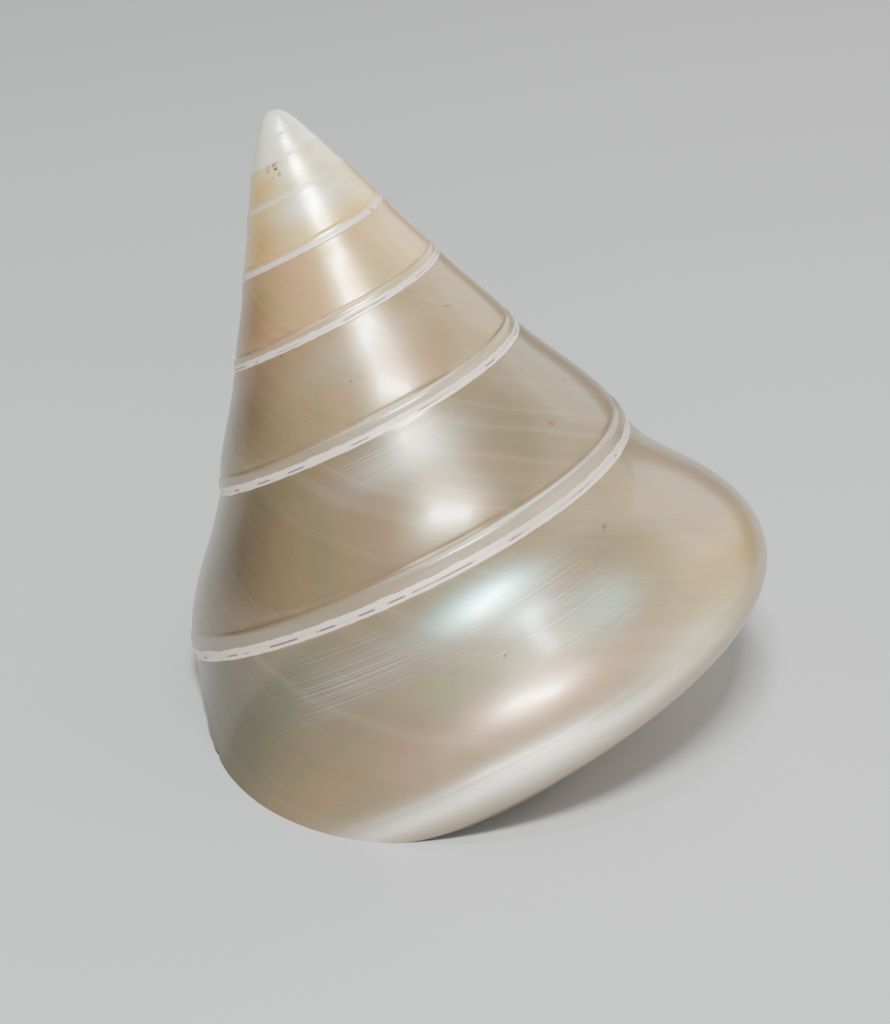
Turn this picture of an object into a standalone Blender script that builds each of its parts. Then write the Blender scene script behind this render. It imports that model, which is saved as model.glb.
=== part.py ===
# A top shell lying on the lip of its mouth.
# Metres, +Z up. The origin is on the table, under the middle of the shell.
#
# The shell is drawn first about its own axis: turns count the whorls, the
# radius is taken from the axis and the depth is measured down from the tip.
# It is then tipped over until the lip and the back of the base touch the table.

import math

import bmesh
import bpy
from mathutils import Matrix, Vector

MM = 0.001

# Spiral: the suture line between two whorls
growth = 0.3777            # natural logarithm of the growth in one turn
suture_radius_at_5 = 25.80 * MM
suture_depth_at_5 = 47.38 * MM
depth_per_radius = 1.638
depth_curve = -13.4        # per metre: the spire steepens towards the tip
tip_rounding = 2.81 * MM
tip_depth = 1.3 * MM       # the blunt tip stands this far below the spire's own point

# Whorls
first_turn = -2.0
last_turn = 5.25
sections_per_turn = 40
section_lean = 0.15        # turns that a growth line lags from one suture to the next
base_lean = 0.17           # and again under the base
whole_whorl_turn = 4.25    # after this turn no later whorl hides the lower edge
free_whorl_turn = 4.50
bulge_at_3 = 0.0079        # belly of a whorl's side, in whorl widths
bulge_per_turn = 0.0248
free_bulge = 0.0012
sag_at_3 = 0.0116          # flare towards the edge, in whorl widths
sag_per_turn = 0.0053
free_sag = 0.0395
sag_norm = 10.4            # makes the flare's greatest height 1

# Body whorl, at the size that it has on turn 4.73
size_turn = 4.73
edge_reach = 9.27 * MM     # from the suture out to the widest point
edge_drop = 14.84 * MM     # from the suture down to the widest point
base_reach = 24.9 * MM     # how far the rounded edge runs in under the base
base_drop = 6.58 * MM
edge_squareness = 3.1
columella_depth = 64.3 * MM
back_share = 0.55          # the base is shallower where the body whorl begins
back_end_turn = 4.56
full_base_turn = 4.78

# Mouth: the hollow follows the spiral inwards for most of a turn
hollow_end_turn = 4.50
hollow_end_share = 0.35    # how far the hollow narrows at its inner end
wall = 1.7 * MM            # at the size of turn 4.73
lip_wall = 1.0 * MM
callus = 1.1 * MM          # on the covered whorl's base
columella_radius = 8.6 * MM
columella_waist = 0.80
pillar_waist = 0.75        # of the columella's free end, round the mouth
suture_lift = 0.35         # how far the hollow's narrow top rises towards the suture
lip_turns = 0.30           # the wall thins to the lip over this last stretch
narrow_turns = 0.40        # the inner end narrows over this stretch

# Resting pose
tip_over = 22.88           # degrees between the shell's axis and the vertical
tip_heading = 153.23       # degrees from +X to where the apex leans
own_turn = -146.16         # degrees that the shell is turned about its axis
table_depth = 59.84 * MM   # from the tip to the table, before the shell is cut

# Relief across a whorl: place between the sutures, height in whorl widths
relief = (
    (0.00, -0.010),
    (0.06, 0.000),
    (0.25, 0.000),
    (0.45, 0.000),
    (0.65, 0.000),
    (0.82, 0.002),
    (0.86, -0.013),
    (0.90, 0.008),
    (0.96, 0.010),
    (1.00, -0.010),
)
corner_rows = 8
columella_rows = 3
wedge_rows = 2             # rows beside the suture that the narrow top of the hollow skips


def smooth_step(low, high, value):
    share = min(1.0, max(0.0, (value - low) / (high - low)))
    return share * share * (3.0 - 2.0 * share)


def mix(a, b, share):
    return a + (b - a) * share


def suture_radius(turn):
    return suture_radius_at_5 * math.exp(growth * (turn - 5.0))


def suture_depth(turn):
    spread = suture_radius(turn) - suture_radius_at_5
    depth = suture_depth_at_5 + depth_per_radius * spread + depth_curve * spread * spread
    return (depth + math.hypot(depth, tip_rounding)) / 2.0


def whorl_size(turn):
    return math.exp(growth * (turn - size_turn))


def freedom(turn):
    """0 where the next whorl covers the lower edge, 1 where the edge is free."""
    return smooth_step(whole_whorl_turn, free_whorl_turn, turn)


def whorl_edge(turn):
    """Radius and depth of the whorl's lower or widest edge."""
    size = whorl_size(turn)
    covered = (suture_radius(turn + 1.0), suture_depth(turn + 1.0))
    free = (suture_radius(turn) + edge_reach * size, suture_depth(turn) + edge_drop * size)
    share = freedom(turn)
    return mix(covered[0], free[0], share), mix(covered[1], free[1], share)


def whorl_side(turn, place, height):
    """A point on the side of a whorl, from its suture (0) to its edge (1)."""
    radius, depth = suture_radius(turn), suture_depth(turn)
    edge_radius, edge_depth = whorl_edge(turn)
    out, down = edge_radius - radius, edge_depth - depth
    share = freedom(turn)
    bulge = mix(bulge_at_3 + bulge_per_turn * (turn - 3.0), free_bulge, share)
    sag = mix(sag_at_3 + sag_per_turn * (turn - 3.0), free_sag, share)
    swell = bulge * 4.0 * place * (1.0 - place)
    swell += sag * sag_norm * place * (1.0 - place) * (2.0 * place - 1.0)
    swell += height * (1.0 - share * smooth_step(0.3, 0.9, place))
    return radius + out * place + down * swell, depth + down * place - out * swell


def under_side(turn, place):
    """A point from the edge (0) round under the base (1)."""
    size = whorl_size(turn)
    edge_radius, edge_depth = whorl_edge(turn)
    shallow = mix(back_share, 1.0, smooth_step(back_end_turn, full_base_turn, turn))
    angle = place * math.pi / 2.0
    power = 2.0 / edge_squareness
    inward = base_reach * size * (1.0 - max(0.0, math.cos(angle)) ** power)
    down = base_drop * size * shallow * math.sin(angle) ** power
    return edge_radius - inward, edge_depth + down


def section_lag(place):
    """Turns by which the growth line lags: place is 0 to 1 on the side, 1 to 2 below."""
    if place <= 1.0:
        return section_lean * place
    return section_lean + base_lean * (place - 1.0)


def pose():
    turned = Matrix.Rotation(math.radians(own_turn), 4, "Z")
    tipped = Matrix.Rotation(math.radians(tip_over), 4, "Y")
    headed = Matrix.Rotation(math.radians(tip_heading), 4, "Z")
    return Matrix.Translation((0.0, 0.0, table_depth)) @ headed @ tipped @ turned


def place_point(turn, radius, depth):
    angle = 2.0 * math.pi * turn
    return pose() @ Vector((-radius * math.sin(angle), -radius * math.cos(angle), -depth))


def outer_point(turn, row):
    """Radius and depth on the outside: rows run down the side, then under the base."""
    last_side = len(relief) - 1
    if row <= last_side:
        place, height = relief[row]
        return whorl_side(turn, place, height)
    return under_side(turn, (row - last_side) / corner_rows)


def row_lag(row):
    last_side = len(relief) - 1
    if row <= last_side:
        return section_lag(relief[row][0])
    return section_lag(1.0 + (row - last_side) / corner_rows)


def inset_point(turn, row, thickness):
    """A point inside the wall, square to the outside."""
    last_side = len(relief) - 1
    nudge = 0.02
    if row <= last_side:
        place = max(nudge, min(1.0 - nudge, relief[row][0]))
        before, after = (whorl_side(turn, place + step, 0.0) for step in (-nudge, nudge))
        radius, depth = whorl_side(turn, relief[row][0], 0.0)
    else:
        place = (row - last_side) / corner_rows
        before = under_side(turn, place - nudge)
        after = under_side(turn, min(1.0, place + nudge))
        radius, depth = under_side(turn, place)
    out, down = after[0] - before[0], after[1] - before[1]
    length = math.hypot(out, down)
    return radius - thickness * down / length, depth + thickness * out / length


def hollow_loop(section):
    """The hollow's outline on one growth line, as turn, radius and depth."""
    last_side = len(relief) - 1
    last_row = last_side + corner_rows
    lip = smooth_step(last_turn - lip_turns, last_turn, section)
    thickness = mix(wall * whorl_size(section), lip_wall, lip)
    loop = []
    for row in range(wedge_rows, last_row + 1):
        turn = section - row_lag(row)
        loop.append((turn, *inset_point(turn, row, thickness)))
    # The base's inner end stops at the columella
    turn, radius, depth = loop[-1]
    inner = columella_radius * whorl_size(turn)
    loop[-1] = (turn, inner, depth)
    # Covered whorl's base, from the columella out to the suture
    roof = []
    for row in range(last_row, last_side + wedge_rows, -1):
        turn = section + section_lean - row_lag(row)
        before = inset_point(turn - 1.0, row, -callus * whorl_size(turn))
        roof.append((turn, *before))
    turn, radius, depth = roof[0]
    roof[0] = (turn, columella_radius * whorl_size(turn), depth)
    # Columella between them
    low, high = loop[-1], roof[0]
    for k in range(1, columella_rows + 1):
        share = k / (columella_rows + 1)
        waist = mix(1.0, columella_waist, math.sin(math.pi * share))
        loop.append((mix(low[0], high[0], share), mix(low[1], high[1], share) * waist,
                     mix(low[2], high[2], share)))
    loop += roof
    # Narrow top, rounded towards the suture
    start, stop = loop[-1], loop[0]
    count = 2 * wedge_rows
    for k in range(1, count + 1):
        share = k / (count + 1)
        turn = mix(start[0], stop[0], share)
        lift = suture_lift * math.sin(math.pi * share)
        radius = mix(mix(start[1], stop[1], share), suture_radius(turn), lift)
        depth = mix(mix(start[2], stop[2], share), suture_depth(turn), lift)
        loop.append((turn, radius, depth))
    # The inner end narrows about its middle
    middle_radius = sum(point[1] for point in loop) / len(loop)
    middle_depth = sum(point[2] for point in loop) / len(loop)
    widening = smooth_step(hollow_end_turn, hollow_end_turn + narrow_turns, section)
    size = mix(hollow_end_share, 1.0, widening)
    return [(turn, mix(middle_radius, radius, size), mix(middle_depth, depth, size))
            for turn, radius, depth in loop]


def shell_form():
    """The whole shell with its hollow, as one closed mesh, before it is laid on the table."""
    mesh = bmesh.new()
    steps = sections_per_turn
    first, last = round(first_turn * steps), round(last_turn * steps)
    overlap = steps - round(section_lean * steps)
    last_side = len(relief) - 1
    last_row = last_side + corner_rows
    free_from = last - overlap
    verts = {}
    # Outside. The lower edge of one whorl is the upper edge of the next, so
    # it is made only where there is no next whorl.
    for i in range(first, last + 1):
        for row in range((last_row if i >= free_from else last_side) + 1):
            if row == last_side and i + overlap <= last:
                continue
            turn = i / steps - row_lag(row)
            verts[i, row] = mesh.verts.new(place_point(turn, *outer_point(turn, row)))
    for i in range(first, free_from + 1):
        verts[i, last_side] = verts[i + overlap, 0]
    for i in range(first, last):
        for row in range(last_row if i >= free_from else last_side):
            mesh.faces.new((verts[i, row], verts[i + 1, row], verts[i + 1, row + 1], verts[i, row + 1]))
    # Tip: the first turn of the suture and the first section, closed to a point
    tip = mesh.verts.new(place_point(0.0, 0.0, tip_depth))
    for i in range(first, first + overlap):
        mesh.faces.new((verts[i, 0], tip, verts[i + 1, 0]))
    for row in range(last_side):
        mesh.faces.new((verts[first, row], verts[first, row + 1], tip))
    # End of the columella, round the axis
    foot = mesh.verts.new(place_point(0.0, 0.0, columella_depth))
    for i in range(free_from, last):
        mesh.faces.new((verts[i, last_row], verts[i + 1, last_row], foot))
    low_turn = last / steps - row_lag(last_row)
    high_turn = free_from / steps + 1.0 - row_lag(last_row)
    low, high = outer_point(low_turn, last_row), outer_point(high_turn - 1.0, last_row)
    pillar = []
    for k in range(1, columella_rows + 1):
        share = k / (columella_rows + 1)
        radius = mix(low[0], high[0], share) * pillar_waist
        pillar.append(mesh.verts.new(place_point(
            mix(low_turn, high_turn, share), radius, mix(low[1], high[1], share))))
    rim = [verts[last, last_row], *pillar, verts[free_from, last_row]]
    for one, two in zip(rim, rim[1:]):
        mesh.faces.new((one, two, foot))
    # Edge of the mouth, in the order of the hollow's outline
    mouth = [verts[last, row] for row in range(wedge_rows, last_row + 1)]
    mouth += pillar
    mouth += [verts[free_from, row] for row in range(last_row, last_side, -1)]
    mouth += [verts[last, row] for row in range(wedge_rows)]
    # Hollow
    loops = [mouth]
    for i in range(last, round(hollow_end_turn * steps) - 1, -1):
        loops.append([mesh.verts.new(place_point(*point)) for point in hollow_loop(i / steps)])
    for one, two in zip(loops, loops[1:]):
        for k in range(len(one)):
            after = (k + 1) % len(one)
            mesh.faces.new((one[k], two[k], two[after], one[after]))
    mesh.faces.new(loops[-1])
    return mesh


def new_object(name, mesh, material=None):
    bmesh.ops.recalc_face_normals(mesh, faces=mesh.faces)
    bmesh.ops.triangulate(mesh, faces=mesh.faces)
    data = bpy.data.meshes.new(name)
    mesh.to_mesh(data)
    mesh.free()
    made = bpy.data.objects.new(name, data)
    bpy.context.scene.collection.objects.link(made)
    if material:
        data.materials.append(material)
    return made


def cutter(name, mesh, target):
    made = new_object(name, mesh)
    made.hide_render = True
    made.display_type = "WIRE"
    cut = target.modifiers.new(name, "BOOLEAN")
    cut.operation = "DIFFERENCE"
    cut.solver = "EXACT"
    cut.object = made
    return made


def table_form():
    """Everything below the table plane."""
    mesh = bmesh.new()
    wide, deep = 200.0 * MM, 100.0 * MM
    bmesh.ops.create_cube(mesh, size=1.0)
    bmesh.ops.scale(mesh, vec=(wide, wide, deep), verts=mesh.verts)
    bmesh.ops.translate(mesh, vec=(0.0, 0.0, -deep / 2.0), verts=mesh.verts)
    return mesh


def nacre():
    material = bpy.data.materials.new("nacre")
    material.use_nodes = True
    shader = material.node_tree.nodes["Principled BSDF"]
    shader.inputs["Base Color"].default_value = (0.46, 0.40, 0.33, 1.0)
    shader.inputs["Roughness"].default_value = 0.22
    shader.inputs["Metallic"].default_value = 0.0
    return material


def centre_over_base(pieces, measured):
    """Move everything so that the measured piece stands centred on the origin."""
    bpy.context.view_layer.update()
    evaluated = measured.evaluated_get(bpy.context.evaluated_depsgraph_get())
    corners = [Vector(corner) for corner in evaluated.bound_box]
    low = Vector([min(corner[n] for corner in corners) for n in range(3)])
    high = Vector([max(corner[n] for corner in corners) for n in range(3)])
    middle = (low + high) / 2.0
    for piece in pieces:
        piece.location = (-middle.x, -middle.y, 0.0)


def build():
    for old in list(bpy.data.objects):
        bpy.data.objects.remove(old, do_unlink=True)
    shell = new_object("shell", shell_form(), nacre())
    table = cutter("table_plane", table_form(), shell)
    centre_over_base((shell, table), shell)
    shell.data.shade_smooth()
    shell.data.set_sharp_from_angle(angle=math.radians(40.0))


build()
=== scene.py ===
import math
import time

import bmesh
import bpy
from mathutils import Matrix, Vector


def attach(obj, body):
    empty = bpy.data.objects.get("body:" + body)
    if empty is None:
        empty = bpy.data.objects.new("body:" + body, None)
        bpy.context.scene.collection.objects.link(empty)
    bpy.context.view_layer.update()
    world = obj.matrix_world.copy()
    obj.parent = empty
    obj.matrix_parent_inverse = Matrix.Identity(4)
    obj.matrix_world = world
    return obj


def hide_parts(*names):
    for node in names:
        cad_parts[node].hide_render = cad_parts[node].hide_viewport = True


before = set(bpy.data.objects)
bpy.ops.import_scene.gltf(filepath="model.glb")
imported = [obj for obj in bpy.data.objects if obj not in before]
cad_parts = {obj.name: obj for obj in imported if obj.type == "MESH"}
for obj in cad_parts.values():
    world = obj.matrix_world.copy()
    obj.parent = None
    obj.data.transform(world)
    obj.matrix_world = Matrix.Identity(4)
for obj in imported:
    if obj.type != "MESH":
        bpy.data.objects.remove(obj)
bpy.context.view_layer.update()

# A polished top shell, lying on the lip of its mouth. Metres, +Z up.
# Turns count the whorls. A place runs from 0 at a whorl's suture to 1 at its edge, and to 2 under the base.

shellSizes = {
    "growth": 0.3777,            # natural logarithm of the growth in one turn
    "sutureRadius": 0.02580,     # on turn 5
    "sutureDepth": 0.04738,      # on turn 5, below the spire's own point
    "depthPerRadius": 1.638,
    "depthCurve": -13.4,
    "tipRounding": 0.00281,
    "tipDepth": 0.0012,
    "tipSharpness": 0.0009,      # how much deeper the first whorls start, for a pointed tip
    "firstTurn": -2.012,
    "lastTurn": 5.238,
    "lean": 0.15,                # turns that the growth lines lag down the side
    "baseLean": 0.17,            # and again under the base
    "wholeTurn": 4.25,           # after this turn the whorl's edge is free
    "freeTurn": 4.50,
    "sizeTurn": 4.73,
    "edgeReach": 0.00927,        # from here on at the size of sizeTurn
    "edgeDrop": 0.01484,
    "baseReach": 0.0249,
    "baseDrop": 0.00658,
    "backShare": 0.55,           # the base is shallower where the last whorl begins
    "backEndTurn": 4.56,
    "fullBaseTurn": 4.78,
    "edgeSquareness": 3.1,
    "columellaDepth": 0.0643,
    "wall": 0.0017,
    "lipWall": 0.0009,
    "callus": 0.0011,
    "columellaRadius": 0.0086,
    "hollowEndShare": 0.35,      # how far the hollow narrows at its inner end
    "sutureDip": 0.00008,
    "sutureRidge": 0.00003,
    "sutureWidth": 0.00112,
    "lipRoundness": 0.00030,
    "chipDepth": 0.0030,         # turns
}

shellCounts = {
    "perTurn": 140,              # a multiple of 20, so that the sutures meet
    "turns": 7.25,
    "coveredTurns": 0.85,        # from a point on the lower suture to the same point on the upper one
    "hollowTurns": 0.75,
    "sideRows": 64,
    "wedgeRows": 16,             # side rows that the hollow's narrow top skips
    "baseRows": 26,
    "roofRows": 13,
    "pillarRows": 8,
    "lipRows": 5,
    "endRows": 7,
}

# Shares of the whorl's width, unless the line says otherwise
whorlProfile = {
    "bulge": 0.0079,             # on turn 3
    "bulgePerTurn": 0.0248,
    "leastBulge": -0.02,
    "lastBulge": 0.0012,
    "sag": 0.0116,               # on turn 3
    "sagPerTurn": 0.0053,
    "lastSag": 0.0395,
    "ridgeAt": 0.90,             # a place, as are the next two
    "grooveAt": 0.862,
    "bandFrom": 0.93,
    "ridgeHeight": 0.0085,
    "grooveDepth": 0.015,
    "bandHeight": 0.008,
    "lineGrowth": 0.17,          # natural logarithm of the suture line's growth in one turn
    "freeGap": 0.05,             # metres from a free edge to a suture, so far that none is drawn
    "noSeam": 50.0,              # the same in widths of the line
    "closeRows": 0.6,            # how closely the rows crowd at the sutures
}

restPose = {
    "tipOver": 22.88,            # degrees
    "tipHeading": 153.23,
    "ownTurn": -146.16,
    "spirePoint": (-0.02147, 0.01353, 0.05984),
}

fullTurn = 2.0 * math.pi
quarterTurn = math.pi / 2.0
weldDistance = 0.000004
cutTolerance = 0.000001
sharpFrom = 50.0                 # degrees between faces
insideFrom = 0.6                 # share of the way over the lip where the inner finish starts

photoCamera = {
    "place": (-0.00319, -0.22827, 0.12115),
    "down": 24.0,                # degrees below level
    "lens": 84.375,
    "sensor": 36.0,
}


# Sums on fields and sockets, written as they are in Python

class Sum:
    def __init__(self, tree, socket):
        self.tree = tree
        self.socket = socket

    def make(self, operation, *values, clamp=False):
        node = self.tree.nodes.new("ShaderNodeMath")
        node.operation = operation
        node.use_clamp = clamp
        for slot, value in zip(node.inputs, values):
            if isinstance(value, Sum):
                self.tree.links.new(value.socket, slot)
            else:
                slot.default_value = value
        return Sum(self.tree, node.outputs[0])

    def __add__(self, other):
        return self.make("ADD", self, other)

    def __radd__(self, other):
        return self.make("ADD", other, self)

    def __sub__(self, other):
        return self.make("SUBTRACT", self, other)

    def __rsub__(self, other):
        return self.make("SUBTRACT", other, self)

    def __mul__(self, other):
        return self.make("MULTIPLY", self, other)

    def __rmul__(self, other):
        return self.make("MULTIPLY", other, self)

    def __truediv__(self, other):
        return self.make("DIVIDE", self, other)

    def __rtruediv__(self, other):
        return self.make("DIVIDE", other, self)


def exp(value):
    return value.make("EXPONENT", value)


def sine(value):
    return value.make("SINE", value)


def cosine(value):
    return value.make("COSINE", value)


def root(value):
    return value.make("SQRT", value)


def most(value, other):
    return value.make("MAXIMUM", value, other)


def least(value, other):
    return value.make("MINIMUM", value, other)


def passed(value, limit):
    return value.make("GREATER_THAN", value, limit)


def raised(value, exponent):
    return value.make("POWER", value, exponent)


def clamped(value):
    return value.make("ADD", value, 0.0, clamp=True)


def hypot(a, b):
    return root(a * a + b * b)


def blend(a, b, share):
    return a + (b - a) * share


def smoothStep(low, high, value):
    share = value.make("DIVIDE", value - low, high - low, clamp=True)
    return share * share * (3.0 - 2.0 * share)


def hump(value, middle, width):
    off = (value - middle) / width
    return exp(off * off * -1.0)


def noiseAlong(value, scale, seed, detail=2.0):
    noise = value.tree.nodes.new("ShaderNodeTexNoise")
    noise.noise_dimensions = "1D"
    value.tree.links.new((value * scale + seed).socket, noise.inputs["W"])
    noise.inputs["Scale"].default_value = 1.0
    noise.inputs["Detail"].default_value = detail
    return Sum(value.tree, noise.outputs[0])


# The shell's rule: each point is a turn, a radius from the axis and a depth below the spire's own point

class ShellRule:
    def __init__(self, given, made):
        self.given = given
        self.made = made         # node groups made so far, by name

    def grouped(self, name, section, row):
        # One node group for each part of the rule that is used many times
        outer = row.tree
        if name not in self.made:
            inner = bpy.data.node_groups.new(name, "GeometryNodeTree")
            sockets = ["section", "row"] + list(self.given)
            for socket in sockets:
                inner.interface.new_socket(socket, in_out="INPUT", socket_type="NodeSocketFloat")
            entry, leave = inner.nodes.new("NodeGroupInput"), inner.nodes.new("NodeGroupOutput")
            given = {key: Sum(inner, entry.outputs[key]) for key in self.given}
            point = getattr(ShellRule(given, self.made), name)(
                Sum(inner, entry.outputs["section"]), Sum(inner, entry.outputs["row"]))
            for key, value in point.items():
                inner.interface.new_socket(key, in_out="OUTPUT", socket_type="NodeSocketFloat")
                inner.links.new(value.socket, leave.inputs[key])
            self.made[name] = inner
        node = outer.nodes.new("GeometryNodeGroup")
        node.node_tree = self.made[name]
        for key, value in {**self.given, "section": section, "row": row}.items():
            if isinstance(value, Sum):
                outer.links.new(value.socket, node.inputs[key])
            else:
                node.inputs[key].default_value = value
        return {socket.name: Sum(outer, socket) for socket in node.outputs if socket.name}

    def sutureRadius(self, turn):
        g = self.given
        return g["sutureRadius"] * exp(g["growth"] * (turn - 5.0))

    def sutureDepth(self, turn):
        g = self.given
        spread = self.sutureRadius(turn) - g["sutureRadius"]
        depth = g["sutureDepth"] + g["depthPerRadius"] * spread + g["depthCurve"] * spread * spread
        rounded = (depth + hypot(depth, g["tipRounding"])) * 0.5
        return rounded + g["tipSharpness"] * smoothStep(1.8, -1.8, turn)

    def whorlSize(self, turn):
        g = self.given
        return exp(g["growth"] * (turn - g["sizeTurn"]))

    def edge(self, turn, share):
        g = self.given
        grown = self.whorlSize(turn)
        freeRadius = self.sutureRadius(turn) + g["edgeReach"] * grown
        freeDepth = self.sutureDepth(turn) + g["edgeDrop"] * grown
        radius = blend(self.sutureRadius(turn + 1.0), freeRadius, share)
        return radius, blend(self.sutureDepth(turn + 1.0), freeDepth, share)

    def lineWidth(self, turn):
        return self.given["sutureWidth"] * exp((turn - 5.0) * whorlProfile["lineGrowth"])

    def sutureRelief(self, turn, distance):
        g = self.given
        grown = exp((turn - 5.0) * whorlProfile["lineGrowth"])
        ridgeAt = self.lineWidth(turn) * 0.30
        ridge = hump(distance, ridgeAt, ridgeAt * 0.55) * g["sutureRidge"]
        return (ridge - hump(distance, 0.0, ridgeAt * 3.0) * g["sutureDip"]) * grown

    def sidePoint(self, turn, place):
        g, form = self.given, whorlProfile
        share = smoothStep(g["wholeTurn"], g["freeTurn"], turn)
        radius, depth = self.sutureRadius(turn), self.sutureDepth(turn)
        edgeRadius, edgeDepth = self.edge(turn, share)
        out, down = edgeRadius - radius, edgeDepth - depth
        width = hypot(out, down)
        arch = place * (1.0 - place)
        bulge = most((turn - 3.0) * form["bulgePerTurn"] + form["bulge"], form["leastBulge"])
        bulge = blend(bulge, form["lastBulge"], share)
        sag = blend((turn - 3.0) * form["sagPerTurn"] + form["sag"], form["lastSag"], share)
        swell = bulge * 4.0 * arch + sag * 10.4 * arch * (2.0 * place - 1.0)
        # Groove and low ridge above the next suture
        relief = hump(place, form["ridgeAt"], 0.020) * form["ridgeHeight"]
        relief = relief + smoothStep(form["ridgeAt"], form["bandFrom"], place) * form["bandHeight"]
        relief = relief - hump(place, form["grooveAt"], 0.013) * form["grooveDepth"]
        relief = relief * (noiseAlong(turn, 9.0, 3.1) + 0.35)
        relief = relief * smoothStep(1.0, 0.965, place) * smoothStep(0.2, 1.4, turn)
        swell = swell + relief * (1.0 - share * smoothStep(0.3, 0.9, place))
        below = place * width
        overEdge = (1.0 - place) * width + share * form["freeGap"]
        dip = self.sutureRelief(turn, below) + self.sutureRelief(turn + 1.0, overEdge)
        seam = least(below / self.lineWidth(turn), overEdge / self.lineWidth(turn + 1.0))
        return radius + out * place + down * swell + dip, depth + down * place - out * swell, seam

    def basePoint(self, turn, place):
        g = self.given
        share = smoothStep(g["wholeTurn"], g["freeTurn"], turn)
        grown = self.whorlSize(turn)
        edgeRadius, edgeDepth = self.edge(turn, share)
        shallow = blend(g["backShare"], 1.0, smoothStep(g["backEndTurn"], g["fullBaseTurn"], turn))
        angle = (place - 1.0) * quarterTurn
        exponent = 2.0 / g["edgeSquareness"]
        inward = g["baseReach"] * grown * (1.0 - raised(most(cosine(angle), 0.0), exponent))
        down = g["baseDrop"] * grown * shallow * raised(most(sine(angle), 0.0), exponent)
        dip = self.sutureRelief(turn + 1.0, share * whorlProfile["freeGap"] + inward)
        return edgeRadius - inward + dip, edgeDepth + down

    def lag(self, place):
        g = self.given
        return g["lean"] * least(place, 1.0) + g["baseLean"] * most(place - 1.0, 0.0)

    def chips(self, section, place):
        g = self.given
        noise = noiseAlong(place, 17.0, 11.3, detail=3.0)
        nicks = smoothStep(0.56, 0.70, noise) * smoothStep(0.60, 0.45, place) + hump(place, 0.27, 0.02) * 0.9
        nearLip = smoothStep(g["lastTurn"] - 0.05, g["lastTurn"], section)
        return g["chipDepth"] * nicks * smoothStep(0.16, 0.24, place) * smoothStep(1.7, 1.2, place) * nearLip

    def side(self, section, row):
        return self.grouped("sideOf", section, row)

    def base(self, section, row):
        return self.grouped("baseOf", section, row)

    def wallPoint(self, section, row):
        return self.grouped("wallOf", section, row)

    def roofPoint(self, section, row):
        return self.grouped("roofOf", section, row)

    def sideOf(self, section, row):
        place = row - sine(row * fullTurn) * (whorlProfile["closeRows"] / fullTurn)
        turn = section - self.chips(section, place) - self.lag(place)
        radius, depth, seam = self.sidePoint(turn, place)
        return {"turn": turn, "radius": radius, "depth": depth, "place": place, "seam": seam}

    def baseOf(self, section, row):
        place = 1.0 + raised(most(row - 1.0, 0.0), 1.5)   # close rows at the edge
        turn = section - self.chips(section, place) - self.lag(place)
        radius, depth = self.basePoint(turn, place)
        return {"turn": turn, "radius": radius, "depth": depth, "place": place}

    def outer(self, section, row):
        under = passed(row, 1.0)
        side = self.side(section, least(row, 1.0))
        base = self.base(section, row)
        return {name: blend(side[name], base[name], under) for name in ("turn", "radius", "depth", "place")}

    def wallOf(self, section, row):
        g = self.given
        point = self.outer(section, row)
        place, turn = point["place"], point["turn"]
        lip = smoothStep(g["lastTurn"] - 0.30, g["lastTurn"], section)
        thickness = blend(g["wall"] * self.whorlSize(section), g["lipWall"], lip)
        facing = 2.583 + 0.559 * smoothStep(0.5, 1.0, place) + 1.571 * smoothStep(1.0, 1.35, place)
        radius = point["radius"] + thickness * cosine(facing)
        depth = point["depth"] + thickness * sine(facing)
        inner = g["columellaRadius"] * self.whorlSize(turn)
        return {"turn": turn, "radius": blend(radius, inner, smoothStep(1.75, 2.0, place)), "depth": depth,
                "place": place}

    def roofOf(self, section, row):
        g = self.given
        point = self.base(section + g["lean"] - 1.0, row)   # the covered whorl's base, one turn before
        turn = point["turn"] + 1.0
        callus = g["callus"] * self.whorlSize(turn)
        inner = g["columellaRadius"] * self.whorlSize(turn)
        return {"turn": turn, "radius": blend(point["radius"], inner, smoothStep(1.75, 2.0, point["place"])),
                "depth": point["depth"] + callus, "place": point["place"]}

    def between(self, low, high, share):
        return {name: blend(low[name], high[name], share) for name in ("turn", "radius", "depth", "place")}

    def hollowPillar(self, section, share):
        innerEnd = share * 0.0 + 2.0
        point = self.between(self.wallPoint(section, innerEnd), self.roofPoint(section, innerEnd), share)
        point["radius"] = point["radius"] * (1.0 - 0.2 * sine(share * math.pi))
        return point

    def hollowTop(self, section, share, roofRow, wedgeRow):
        roof = self.roofPoint(section, share * 0.0 + roofRow)
        point = self.between(roof, self.wallPoint(section, share * 0.0 + wedgeRow), share)
        lift = 0.35 * sine(share * math.pi)
        point["radius"] = blend(point["radius"], self.sutureRadius(point["turn"]), lift)
        point["depth"] = blend(point["depth"], self.sutureDepth(point["turn"]), lift)
        return point

    def narrowed(self, section, point, end):
        kept = blend(self.given["hollowEndShare"], 1.0, smoothStep(end - 0.05, end + 0.40, section))
        middleRadius = self.sutureRadius(section) * 0.80
        middleDepth = self.sutureDepth(section) + self.whorlSize(section) * 0.0105
        point["radius"] = blend(middleRadius, point["radius"], kept)
        point["depth"] = blend(middleDepth, point["depth"], kept)
        return point

    def roofRim(self, row, freeFrom):
        point = self.base(freeFrom, row)   # the covered whorl's base, one turn before the lip
        point["turn"] = point["turn"] + 1.0
        return point

    def outerPillar(self, share, freeFrom):
        innerEnd = share * 0.0 + 2.0
        base = self.base(self.given["lastTurn"], innerEnd)
        point = self.between(base, self.roofRim(innerEnd, freeFrom), share)
        point["radius"] = point["radius"] * (1.0 - 0.25 * sine(share * math.pi))
        return point

    def domed(self, point, depth, share):
        point["radius"] = point["radius"] * (1.0 - share)
        point["depth"] = blend(point["depth"], depth, share * (2.0 - share))
        return point

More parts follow.
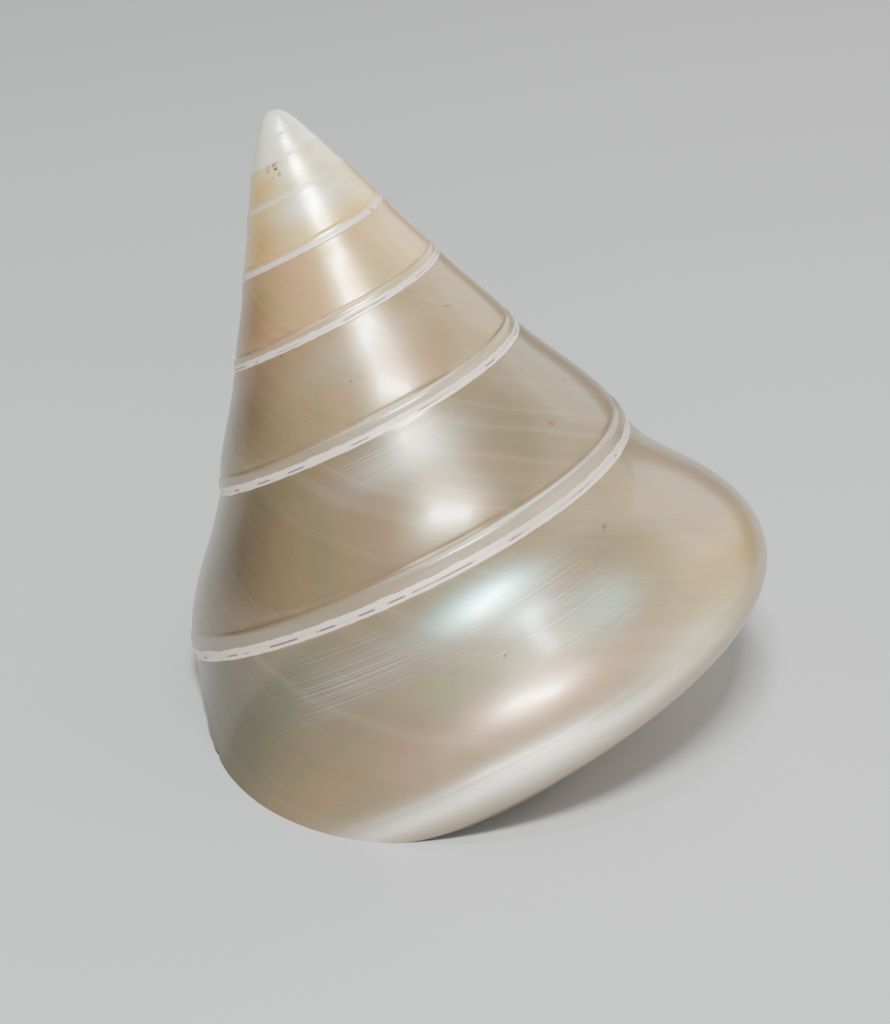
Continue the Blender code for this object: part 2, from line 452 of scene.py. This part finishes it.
    def footed(self, point, depth, share):
        point["radius"] = point["radius"] * (1.0 - share)
        point["depth"] = blend(point["depth"], depth, share * share * (3.0 - 2.0 * share))
        return point

    def overLip(self, outer, inner, share):
        point = self.between(outer, inner, share)
        forward = self.given["lipRoundness"] * sine(share * math.pi) / (point["radius"] * fullTurn)
        point["turn"] = point["turn"] + forward
        return point


def makeShellTree(outsideMaterial, insideMaterial):
    tree = bpy.data.node_groups.new("shellTree", "GeometryNodeTree")
    tree.is_modifier = True
    tree.interface.new_socket("Geometry", in_out="OUTPUT", socket_type="NodeSocketGeometry")
    for name, value in shellSizes.items():
        tree.interface.new_socket(name, in_out="INPUT", socket_type="NodeSocketFloat").default_value = value
    nodes, links = tree.nodes, tree.links
    entry = nodes.new("NodeGroupInput")
    g = {name: Sum(tree, entry.outputs[name]) for name in shellSizes}
    rule, c = ShellRule(g, {}), shellCounts
    covered, coveredColumns = c["coveredTurns"], round(c["coveredTurns"] * c["perTurn"])
    hollow, hollowColumns = c["hollowTurns"], round(c["hollowTurns"] * c["perTurn"])
    freeFrom, hollowFrom = g["lastTurn"] - covered, g["lastTurn"] - hollow
    wallSideRows = c["sideRows"] - c["wedgeRows"]
    wallRows, topRows = wallSideRows + c["baseRows"], c["roofRows"] + c["wedgeRows"]
    wedgeRow, roofRow = c["wedgeRows"] / c["sideRows"], 1.0 + c["roofRows"] / c["baseRows"]
    join = nodes.new("GeometryNodeJoinGeometry")

    def sheet(columns, rows, pointAt, inside):
        grid = nodes.new("GeometryNodeMeshGrid")
        counts = {"Size X": 1.0, "Size Y": 1.0, "Vertices X": columns + 1, "Vertices Y": rows + 1}
        for name, value in counts.items():
            grid.inputs[name].default_value = value
        where = nodes.new("GeometryNodeInputPosition")
        parts = nodes.new("ShaderNodeSeparateXYZ")
        links.new(where.outputs[0], parts.inputs[0])
        across, along = Sum(tree, parts.outputs[0]) + 0.5, Sum(tree, parts.outputs[1]) + 0.5
        point = pointAt(across, along)
        far = across * 0.0 + whorlProfile["noSeam"]
        facts = {
            "turn": point["turn"],
            "place": point["place"],
            "seam": point.get("seam", far),
            "inside": across * 0.0 + inside if isinstance(inside, float) else along,
        }
        flow = grid.outputs[0]
        for name, value in facts.items():
            store = nodes.new("GeometryNodeStoreNamedAttribute")
            store.data_type, store.domain = "FLOAT", "POINT"
            store.inputs["Name"].default_value = name
            links.new(value.socket, store.inputs["Value"])
            links.new(flow, store.inputs["Geometry"])
            flow = store.outputs[0]
        angle = point["turn"] * fullTurn
        values = (point["radius"] * sine(angle) * -1.0,
                  point["radius"] * cosine(angle) * -1.0,
                  point["depth"] * -1.0)
        joined = nodes.new("ShaderNodeCombineXYZ")
        for slot, value in zip(joined.inputs, values):
            links.new(value.socket, slot)
        move = nodes.new("GeometryNodeSetPosition")
        links.new(flow, move.inputs["Geometry"])
        links.new(joined.outputs[0], move.inputs["Position"])
        links.new(move.outputs[0], join.inputs[0])

    # Outside: the coiled side, the base of the last whorl, the tip and the columella's end
    sheet(round(c["turns"] * c["perTurn"]), c["sideRows"],
          lambda a, b: rule.side(g["firstTurn"] + a * c["turns"], b), 0.0)
    sheet(coveredColumns, c["baseRows"], lambda a, b: rule.base(freeFrom + a * covered, 1.0 + b), 0.0)
    sheet(coveredColumns, c["endRows"],
          lambda a, b: rule.domed(rule.side(g["firstTurn"] + a * covered, a * 0.0), g["tipDepth"], b), 0.0)
    sheet(c["sideRows"], c["endRows"],
          lambda a, b: rule.domed(rule.side(g["firstTurn"], a), g["tipDepth"], b), 0.0)
    sheet(coveredColumns, c["endRows"], lambda a, b: rule.footed(
        rule.base(freeFrom + a * covered, a * 0.0 + 2.0), g["columellaDepth"], b), 0.0)
    sheet(c["pillarRows"], c["endRows"],
          lambda a, b: rule.footed(rule.outerPillar(a, freeFrom), g["columellaDepth"], b), 0.0)

    # Inside of the last whorl
    def wallRow(share):
        count = share * wallRows
        sideShare = least(count, wallSideRows) / c["sideRows"]
        return wedgeRow + sideShare + most(count - wallSideRows, 0.0) / c["baseRows"]

    def hollowSheet(rows, pointAt):
        def narrowedAt(a, b):
            section = hollowFrom + a * hollow
            return rule.narrowed(section, pointAt(section, b), hollowFrom)
        sheet(hollowColumns, rows, narrowedAt, 1.0)

    hollowSheet(wallRows, lambda section, b: rule.wallPoint(section, wallRow(b)))
    hollowSheet(c["pillarRows"], rule.hollowPillar)
    hollowSheet(c["roofRows"], lambda section, b: rule.roofPoint(section, 2.0 - b * (2.0 - roofRow)))
    hollowSheet(topRows, lambda section, b: rule.hollowTop(section, b, roofRow, wedgeRow))

    # Lip, all round the mouth
    last = g["lastTurn"]

    def topRim(a):
        count = a * topRows
        roof = rule.roofRim(roofRow - least(count, c["roofRows"]) / c["baseRows"], freeFrom)
        side = rule.side(last, most(count - c["roofRows"], 0.0) / c["sideRows"])
        return rule.between(roof, side, passed(count, c["roofRows"]))

    sheet(wallRows, c["lipRows"], lambda a, b: rule.overLip(
        rule.outer(last, wallRow(a)), rule.wallPoint(last, wallRow(a)), b), None)
    sheet(c["pillarRows"], c["lipRows"], lambda a, b: rule.overLip(
        rule.outerPillar(a, freeFrom), rule.hollowPillar(last, a), b), None)
    sheet(c["roofRows"], c["lipRows"], lambda a, b: rule.overLip(
        rule.roofRim(2.0 - a * (2.0 - roofRow), freeFrom),
        rule.roofPoint(last, 2.0 - a * (2.0 - roofRow)), b), None)
    sheet(topRows, c["lipRows"], lambda a, b: rule.overLip(
        topRim(a), rule.hollowTop(last, a, roofRow, wedgeRow), b), None)

    # One closed skin in two finishes
    weld = nodes.new("GeometryNodeMergeByDistance")
    weld.inputs["Distance"].default_value = weldDistance
    real = nodes.new("GeometryNodeRealizeInstances")
    inside = nodes.new("GeometryNodeInputNamedAttribute")
    inside.data_type = "FLOAT"
    inside.inputs["Name"].default_value = "inside"
    finish = nodes.new("GeometryNodeSetMaterial")
    finish.inputs["Material"].default_value = outsideMaterial
    innerFinish = nodes.new("GeometryNodeSetMaterial")
    innerFinish.inputs["Material"].default_value = insideMaterial
    leave = nodes.new("NodeGroupOutput")
    links.new(join.outputs[0], weld.inputs["Geometry"])
    links.new(weld.outputs[0], real.inputs[0])
    links.new(real.outputs[0], finish.inputs["Geometry"])
    links.new(finish.outputs[0], innerFinish.inputs["Geometry"])
    isInside = passed(Sum(tree, inside.outputs["Attribute"]), insideFrom)
    links.new(isInside.socket, innerFinish.inputs["Selection"])
    links.new(innerFinish.outputs[0], leave.inputs[0])
    return tree


def makeShell(outsideMaterial, insideMaterial):
    started = time.time()
    carrier = bpy.data.objects.new("shellCarrier", bpy.data.meshes.new("shellCarrier"))
    bpy.context.scene.collection.objects.link(carrier)
    modifier = carrier.modifiers.new("shellRule", "NODES")
    modifier.node_group = makeShellTree(outsideMaterial, insideMaterial)
    print("tree made", round(time.time() - started, 1), "s", flush=True)
    for socket in modifier.node_group.interface.items_tree:
        if socket.in_out == "INPUT":
            modifier[socket.identifier] = shellSizes[socket.name]
    bpy.context.view_layer.update()
    evaluated = carrier.evaluated_get(bpy.context.evaluated_depsgraph_get())
    mesh = bpy.data.meshes.new_from_object(evaluated, preserve_all_data_layers=True,
                                           depsgraph=bpy.context.evaluated_depsgraph_get())
    print("tree evaluated", round(time.time() - started, 1), "s,", len(mesh.polygons), "faces", flush=True)
    bpy.data.objects.remove(carrier, do_unlink=True)
    mesh.name = "polishedShell"
    layOnTable(mesh)
    for number, held in enumerate(mesh.materials):
        if held is None:   # the level faces on the table
            mesh.materials[number] = outsideMaterial
    print("finishes:", [held.name for held in mesh.materials], flush=True)
    shell = bpy.data.objects.new("polishedShell", mesh)
    bpy.context.scene.collection.objects.link(shell)
    return shell


def layOnTable(mesh):
    turned = Matrix.Rotation(math.radians(restPose["ownTurn"]), 4, "Z")
    tipped = Matrix.Rotation(math.radians(restPose["tipOver"]), 4, "Y")
    headed = Matrix.Rotation(math.radians(restPose["tipHeading"]), 4, "Z")
    mesh.transform(Matrix.Translation(restPose["spirePoint"]) @ headed @ tipped @ turned)
    work = bmesh.new()
    work.from_mesh(mesh)
    openEdges = [edge for edge in work.edges if edge.is_boundary]
    print("open edges before the inner end is closed:", len(openEdges), flush=True)
    filled = bmesh.ops.holes_fill(work, edges=openEdges, sides=0)["faces"]
    bmesh.ops.triangulate(work, faces=filled)
    bmesh.ops.recalc_face_normals(work, faces=work.faces)
    # The lip and the back of the base are worn level where they touch the table
    everything = work.verts[:] + work.edges[:] + work.faces[:]
    cut = bmesh.ops.bisect_plane(work, geom=everything, dist=cutTolerance, clear_inner=True,
                                 plane_co=(0.0, 0.0, 0.0), plane_no=(0.0, 0.0, 1.0))
    rims = [item for item in cut["geom_cut"] if isinstance(item, bmesh.types.BMEdge)]
    bmesh.ops.triangle_fill(work, use_beauty=True, edges=rims, normal=(0.0, 0.0, -1.0))
    loose = [vert for vert in work.verts if not vert.link_faces]
    bmesh.ops.delete(work, geom=loose, context="VERTS")
    bmesh.ops.recalc_face_normals(work, faces=work.faces)
    print("open edges:", sum(edge.is_boundary for edge in work.edges),
          "odd edges:", sum(not edge.is_manifold for edge in work.edges), "faces:", len(work.faces))
    work.to_mesh(mesh)
    work.free()
    mesh.shade_smooth()
    mesh.set_sharp_from_angle(angle=math.radians(sharpFrom))


# Finishes

def colour(code):
    channels = [int(code[n:n + 2], 16) / 255.0 for n in (0, 2, 4)]
    linear = [value / 12.92 if value < 0.04045 else ((value + 0.055) / 1.055) ** 2.4 for value in channels]
    return (*linear, 1.0)


def newMaterial(name):
    material = bpy.data.materials.new(name)
    material.use_nodes = True
    return material, material.node_tree, material.node_tree.nodes["Principled BSDF"]


def attribute(tree, name):
    node = tree.nodes.new("ShaderNodeAttribute")
    node.attribute_name = name
    return Sum(tree, node.outputs["Fac"])


def ramp(factor, stops):
    node = factor.tree.nodes.new("ShaderNodeValToRGB")
    marks = node.color_ramp.elements
    while len(marks) < len(stops):
        marks.new(0.5)
    for mark, (position, code) in zip(marks, stops):
        mark.position = position
        mark.color = colour(code)
    factor.tree.links.new(factor.socket, node.inputs[0])
    return node.outputs[0]


def tinted(tree, base, tint, share, mode="MIX"):
    node = tree.nodes.new("ShaderNodeMix")
    node.data_type, node.blend_type = "RGBA", mode
    for slot, value in ((0, share), (6, base), (7, tint)):
        if isinstance(value, Sum):
            tree.links.new(value.socket, node.inputs[slot])
        elif isinstance(value, bpy.types.NodeSocket):
            tree.links.new(value, node.inputs[slot])
        elif isinstance(value, str):
            node.inputs[slot].default_value = colour(value)
        else:
            node.inputs[slot].default_value = value
    return node.outputs[2]


def startGroup(name, inputs, output, kind):
    group = bpy.data.node_groups.new(name, "ShaderNodeTree")
    for label, socketKind in inputs.items():
        group.interface.new_socket(label, in_out="INPUT", socket_type=socketKind)
    group.interface.new_socket(output, in_out="OUTPUT", socket_type=kind)
    return group, group.nodes.new("NodeGroupInput"), group.nodes.new("NodeGroupOutput")


def placeGroup(tree, group, **values):
    node = tree.nodes.new("ShaderNodeGroup")
    node.node_tree = group
    for label, value in values.items():
        slot = node.inputs[label]
        if isinstance(value, Sum):
            tree.links.new(value.socket, slot)
        elif isinstance(value, bpy.types.NodeSocket):
            tree.links.new(value, slot)
        else:
            slot.default_value = value
    return node.outputs[0]


def makeGrowthLines():
    # Fine lines that lag across the whorl as the lip did
    kinds = {"Turn": "NodeSocketFloat", "Place": "NodeSocketFloat", "Fineness": "NodeSocketFloat"}
    group, entry, leave = startGroup("growthLines", kinds, "Lines", "NodeSocketFloat")
    turn, place, fineness = (Sum(group, entry.outputs[label]) for label in kinds)
    grown = turn + shellSizes["lean"] * least(place, 1.0) + shellSizes["baseLean"] * most(place - 1.0, 0.0)
    grown = grown + noiseAlong(place, 5.0, 2.0) * 0.012
    coarse = noiseAlong(grown * fineness, 1.0, 4.0, detail=3.0)
    fine = noiseAlong(grown * fineness, 5.3, 9.0, detail=2.0)
    group.links.new((coarse * 0.6 + fine * 0.4).socket, leave.inputs[0])
    return group


pearlStops = ((0.30, "d9b9b4"), (0.40, "dcc8ac"), (0.48, "b9c2a4"),
              (0.56, "d6c3a6"), (0.64, "d8b4a8"), (0.74, "a9bcc2"))


def makePearlHues():
    # Soft rose, green and blue clouds that lie in the layers of the nacre
    kinds = {"Colour": "NodeSocketColor", "Fineness": "NodeSocketFloat", "Strength": "NodeSocketFloat"}
    group, entry, leave = startGroup("pearlHues", kinds, "Colour", "NodeSocketColor")
    where = group.nodes.new("ShaderNodeTexCoord")
    clouds = group.nodes.new("ShaderNodeTexNoise")
    clouds.inputs["Detail"].default_value = 3.0
    clouds.inputs["Distortion"].default_value = 0.9
    group.links.new(where.outputs["Object"], clouds.inputs["Vector"])
    group.links.new(entry.outputs["Fineness"], clouds.inputs["Scale"])
    hues = ramp(Sum(group, clouds.outputs[0]), pearlStops)
    strength = Sum(group, entry.outputs["Strength"])
    mixed = tinted(group, entry.outputs["Colour"], hues, strength, mode="OVERLAY")
    group.links.new(mixed, leave.inputs[0])
    return group


def uneven(tree, fineness, detail=4.0):
    where = tree.nodes.new("ShaderNodeTexCoord")
    noise = tree.nodes.new("ShaderNodeTexNoise")
    noise.inputs["Scale"].default_value = fineness
    noise.inputs["Detail"].default_value = detail
    tree.links.new(where.outputs["Object"], noise.inputs["Vector"])
    return Sum(tree, noise.outputs[0])


def polish(tree, shader, finish, height):
    shader.inputs["Metallic"].default_value = finish["metallic"]
    shader.inputs["Coat Weight"].default_value = finish["coat"]
    shader.inputs["Coat Roughness"].default_value = finish["coatRoughness"]
    node = tree.nodes.new("ShaderNodeBump")
    node.inputs["Distance"].default_value = finish["reliefDepth"]
    node.inputs["Strength"].default_value = finish["reliefStrength"]
    tree.links.new(height.socket, node.inputs["Height"])
    tree.links.new(node.outputs[0], shader.inputs["Normal"])


outsideFinish = {
    # Turn, from the tip to the lip, and the colour of the skin there
    "skin": ((-2.0, "f4f1e6"), (-0.6, "f3eedd"), (0.2, "e8cd98"), (1.3, "dabd8c"), (2.1, "b3966f"),
             (3.1, "8f7c62"), (4.1, "7d6e5a"), (4.8, "8f7e66"), (5.2, "7a6f60")),
    # Turn, place, reach in turns, reach in places, tint, share
    "clouds": (
        # Painted shade: this dark tint and those at turns 5.170, 4.175, 3.180 and 2.180 darken the shell's
        # left side, where the light falls off
        (5.175, 0.30, 0.050, 0.60, "4b463b", 0.75),
        (5.118, 0.32, 0.050, 0.20, "5d6a58", 0.55),
        # Painted shade on the left side
        (5.170, 0.75, 0.045, 0.40, "6f6b5c", 0.40),
        (5.083, 0.78, 0.030, 0.16, "9e7b5a", 0.35),
        (5.044, 0.30, 0.060, 0.16, "9f8980", 0.50),
        # Painted highlight: this cyan tint and the next two sit where the key light's reflection falls on
        # the last whorl
        (4.985, 0.20, 0.032, 0.09, "a0e2da", 0.85),
        (4.968, 0.38, 0.014, 0.06, "d2eaea", 0.60),
        (4.930, 0.56, 0.022, 0.14, "bfd8cf", 0.55),
        (4.990, 0.52, 0.050, 0.13, "939c78", 0.55),
        (4.975, 0.82, 0.060, 0.16, "d2ab8c", 0.50),
        (4.842, 0.84, 0.050, 0.18, "c09c58", 0.60),
        (4.825, 0.40, 0.050, 0.22, "a58f66", 0.50),
        (4.880, 0.60, 0.030, 0.20, "b9a070", 0.40),
        # Painted highlight: this and the next two pale tints brighten the keel where it catches the light
        (4.995, 1.045, 0.075, 0.05, "fffaf0", 0.95),
        (4.990, 1.10, 0.070, 0.12, "e6dccb", 0.60),
        (4.900, 1.00, 0.040, 0.10, "cccaa4", 0.55),
        # Painted shade on the left side
        (4.175, 0.45, 0.055, 0.60, "4c4030", 0.75),
        # Painted highlight on the whorl before, in line with the one on the last whorl
        (3.996, 0.22, 0.050, 0.12, "b9b7ac", 0.50),
        # Painted shade on the left side, on this line and the next
        (3.180, 0.50, 0.060, 0.60, "5e4d37", 0.70),
        (2.180, 0.50, 0.065, 0.60, "75603f", 0.65),
        (3.000, 0.30, 0.080, 0.20, "bfae92", 0.40),
        (1.860, 0.50, 0.060, 0.35, "d3b082", 0.55),
        (2.960, 0.94, 0.080, 0.06, "d9cdb6", 0.40),
        (3.940, 0.94, 0.070, 0.05, "e0cfb2", 0.40),
        (0.970, 0.25, 0.085, 0.26, "fbf9ef", 0.85),
        (-0.030, 0.36, 0.090, 0.26, "fcf8ea", 0.80),
        (1.130, 0.60, 0.070, 0.50, "c08c4a", 0.65),
        (0.120, 0.60, 0.070, 0.40, "cf9a52", 0.65),
        (0.900, 0.85, 0.140, 0.12, "d9ab68", 0.65),
    ),
    # Turns at which the ridge above the groove gets a painted highlight
    "ridgeHighlightTurns": (1.985, 2.975, 3.945),
    # Turn and place of each patch of streaks tinted as painted highlight
    "streakHighlight": ((4.975, 0.28), (5.060, 0.30), (3.990, 0.18), (2.990, 0.20), (4.925, 0.56)),
    "roughness": 0.31,
    "metallic": 0.30,
    "coat": 0.40,
    "coatRoughness": 0.13,
    "hueFineness": 48.0,
    "hueStrength": 0.42,
    "lineFineness": 70.0,
    "paleGrowth": "d8cdbb",
    "darkGrowth": "5e4f3d",
    # Tints for the painted highlight on the streaks, painted shade in the crease and in the groove, the
    # band's own paler colour, and the painted highlight on the ridge
    "streakHighlightTint": "f1f6f4",
    "crease": "a6957c",
    "grooveShade": "6e5334",
    "band": "ada092",
    "ridgeHighlight": "fff8ea",
    "line": "e2cfc1",
    "dash": "4c2a44",
    "pit": "6b4a26",
    "reliefDepth": 0.00005,
    "reliefStrength": 0.40,
}

insideFinish = {
    "skin": "cfc4b4",
    "darkGrowth": "b7a793",
    "hueFineness": 70.0,
    "hueStrength": 0.55,
    "lineFineness": 55.0,
    "roughness": 0.28,
    "metallic": 0.35,
    "coat": 0.4,
    "coatRoughness": 0.15,
    "reliefDepth": 0.00008,
    "reliefStrength": 0.5,
}


def makeOutside(growthLines, pearlHues):
    finish = outsideFinish
    material, tree, shader = newMaterial("polishedNacre")
    turn, place = attribute(tree, "turn"), attribute(tree, "place")
    seam = attribute(tree, "seam")
    first, last = finish["skin"][0][0], finish["skin"][-1][0]
    stops = [((at - first) / (last - first), code) for at, code in finish["skin"]]
    skin = ramp((turn - first) / (last - first), stops)
    skin = placeGroup(tree, pearlHues, Colour=skin, Fineness=finish["hueFineness"],
                      Strength=finish["hueStrength"])
    # Colour patches of the nacre, among them painted shade on the left side and painted highlights on the
    # keel and where the key light reflects
    for atTurn, atPlace, turns, places, tint, share in finish["clouds"]:
        wander = (uneven(tree, 90.0) - 0.5) * 0.5
        cloud = hump(turn + wander * turns, atTurn, turns) * hump(place + wander * places, atPlace, places)
        skin = tinted(tree, skin, tint, cloud * share)
    lines = placeGroup(tree, growthLines, Turn=turn, Place=place, Fineness=finish["lineFineness"])
    lines = Sum(tree, lines)
    skin = tinted(tree, skin, finish["paleGrowth"], smoothStep(0.50, 0.75, lines) * 0.07)
    skin = tinted(tree, skin, finish["darkGrowth"], smoothStep(0.50, 0.28, lines) * 0.10)

    # Fine streaks along the whorl, tinted pale as a painted highlight where the shell catches the light
    streakHighlight = smoothStep(0.42, 0.75, noiseAlong(place, 75.0, 6.0, detail=3.0))
    streakHighlight = streakHighlight * smoothStep(0.38, 0.66, uneven(tree, 60.0))
    for atTurn, atPlace in finish["streakHighlight"]:
        here = streakHighlight * hump(turn, atTurn, 0.055) * hump(place, atPlace, 0.16)
        skin = tinted(tree, skin, finish["streakHighlightTint"], here * 0.28)
    # Painted shade along the crease at the keel's edge; the crease is also a dip in the bump
    crease = hump(place, 1.004, 0.007) * hump(turn, 5.0, 0.10)
    skin = tinted(tree, skin, finish["crease"], crease * 0.45)

    # Painted shade in the groove, a painted highlight on its ridge, and the paler band above each suture
    inSpire = smoothStep(4.45, 4.2, turn) * smoothStep(0.6, 1.6, turn)
    patchy = smoothStep(0.35, 0.60, noiseAlong(turn, 14.0, 8.0))
    grooveShade = hump(place, 0.852, 0.016) * inSpire * patchy
    skin = tinted(tree, skin, finish["grooveShade"], grooveShade * 0.50)
    skin = tinted(tree, skin, finish["band"], smoothStep(0.87, 0.90, place) * inSpire * 0.35)
    # Painted highlight along the ridge above the groove, on the front of three whorls
    for atTurn in finish["ridgeHighlightTurns"]:
        edge = hump(turn, atTurn, 0.075) * hump(place, 0.875, 0.012)
        skin = tinted(tree, skin, finish["ridgeHighlight"], edge * 0.9)

    # Cream line along the suture, with purple dashes in its core
    reach = seam * blend(1.35, 0.85, smoothStep(0.3, 0.7, place))
    wobble = (noiseAlong(turn, 60.0, 5.0, detail=3.0) - 0.5) * 0.22
    line = smoothStep(0.50, 0.38, reach + wobble) * smoothStep(-1.4, 0.4, turn)
    core = smoothStep(0.12, 0.05, seam) * smoothStep(0.50, 0.56, uneven(tree, 320.0, detail=3.0))
    core = core * smoothStep(0.36, 0.52, uneven(tree, 70.0))
    skin = tinted(tree, skin, finish["line"], line)
    skin = tinted(tree, skin, finish["dash"], core * smoothStep(0.8, 2.0, turn) * 0.85)

    # Small brown pits near the tip, and a few dark specks
    nearTip = hump(turn, 0.07, 0.035) * hump(place, 0.22, 0.24)
    pits = smoothStep(0.50, 0.58, uneven(tree, 1500.0)) * nearTip
    specks = smoothStep(0.77, 0.80, uneven(tree, 520.0, detail=1.0))
    skin = tinted(tree, skin, finish["pit"], clamped(pits + specks * 0.6))
    tree.links.new(skin, shader.inputs["Base Color"])
    rough = finish["roughness"] + (uneven(tree, 260.0) - 0.5) * 0.10 + line * 0.15
    tree.links.new(rough.socket, shader.inputs["Roughness"])
    height = lines * 0.4 + uneven(tree, 1400.0) * 0.08 - pits - specks * 0.5 - crease
    polish(tree, shader, finish, height)
    return material


def makeInside(growthLines, pearlHues):
    finish = insideFinish
    material, tree, shader = newMaterial("mouthNacre")
    turn, place = attribute(tree, "turn"), attribute(tree, "place")
    skin = placeGroup(tree, pearlHues, Colour=colour(finish["skin"]), Fineness=finish["hueFineness"],
                      Strength=finish["hueStrength"])
    lines = placeGroup(tree, growthLines, Turn=turn, Place=place, Fineness=finish["lineFineness"])
    lines = Sum(tree, lines)
    skin = tinted(tree, skin, finish["darkGrowth"], smoothStep(0.5, 0.3, lines) * 0.3)
    tree.links.new(skin, shader.inputs["Base Color"])
    rough = finish["roughness"] + (uneven(tree, 200.0) - 0.5) * 0.1
    tree.links.new(rough.socket, shader.inputs["Roughness"])
    polish(tree, shader, finish, lines)
    return material


# Floor, light and camera

studio = {
    "floorReach": 3.0,
    "floor": "b9b9b9",
    "floorRoughness": 0.8,
    "air": "e8ebf0",
    "airStrength": 0.17,
    "target": (0.0, -0.01, 0.02),
    # Place, width, height, power in watts, tint
    "lights": {
        "window": ((-0.03, -0.40, 0.72), 0.26, 0.08, 10.0, (0.94, 1.0, 0.99)),
        "skylight": ((-0.05, -0.10, 0.85), 0.10, 0.05, 1.6, (0.93, 0.98, 1.0)),
        "lowFront": ((0.22, -0.75, 0.13), 0.60, 0.22, 5.0, (1.0, 0.97, 0.92)),
        "rightWall": ((0.75, 0.10, 0.42), 1.0, 0.9, 4.0, (1.0, 0.96, 0.90)),
        "backWall": ((0.35, 0.80, 0.50), 0.8, 0.6, 3.0, (1.0, 0.98, 0.95)),
    },
}


def makeFloor():
    mesh = bpy.data.meshes.new("floor")
    wide = studio["floorReach"]
    corners = [(-wide, -wide, 0.0), (wide, -wide, 0.0), (wide, wide, 0.0), (-wide, wide, 0.0)]
    mesh.from_pydata(corners, [], [(0, 1, 2, 3)])
    floor = bpy.data.objects.new("floor", mesh)
    bpy.context.scene.collection.objects.link(floor)
    material, tree, shader = newMaterial("paleFloor")
    shader.inputs["Base Color"].default_value = colour(studio["floor"])
    shader.inputs["Roughness"].default_value = studio["floorRoughness"]
    mesh.materials.append(material)


def addSoftbox(name, place, width, height, power, tint):
    light = bpy.data.lights.new(name, "AREA")
    light.shape = "RECTANGLE"
    light.size, light.size_y, light.energy, light.color = width, height, power, tint
    lamp = bpy.data.objects.new(name, light)
    lamp.location = place
    aim = Vector(studio["target"]) - Vector(place)
    lamp.rotation_euler = aim.to_track_quat("-Z", "Y").to_euler()
    bpy.context.scene.collection.objects.link(lamp)


def makeStudio():
    world = bpy.data.worlds.new("studio")
    world.use_nodes = True
    background = world.node_tree.nodes["Background"]
    background.inputs["Color"].default_value = colour(studio["air"])
    background.inputs["Strength"].default_value = studio["airStrength"]
    bpy.context.scene.world = world
    for name, facts in studio["lights"].items():
        addSoftbox(name, *facts)


def makeCamera():
    lens = bpy.data.cameras.new("camera")
    lens.lens, lens.sensor_width = photoCamera["lens"], photoCamera["sensor"]
    lens.clip_start = 0.01
    camera = bpy.data.objects.new("camera", lens)
    camera.location = photoCamera["place"]
    camera.rotation_euler = (math.radians(90.0 - photoCamera["down"]), 0.0, 0.0)
    bpy.context.scene.collection.objects.link(camera)
    bpy.context.scene.camera = camera


growthLines, pearlHues = makeGrowthLines(), makePearlHues()
shell = makeShell(makeOutside(growthLines, pearlHues), makeInside(growthLines, pearlHues))
print("shell made:", len(shell.data.polygons), "faces")
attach(shell, "root")
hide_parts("shell")
makeFloor()
makeStudio()
makeCamera()
print("floor, light and camera made")
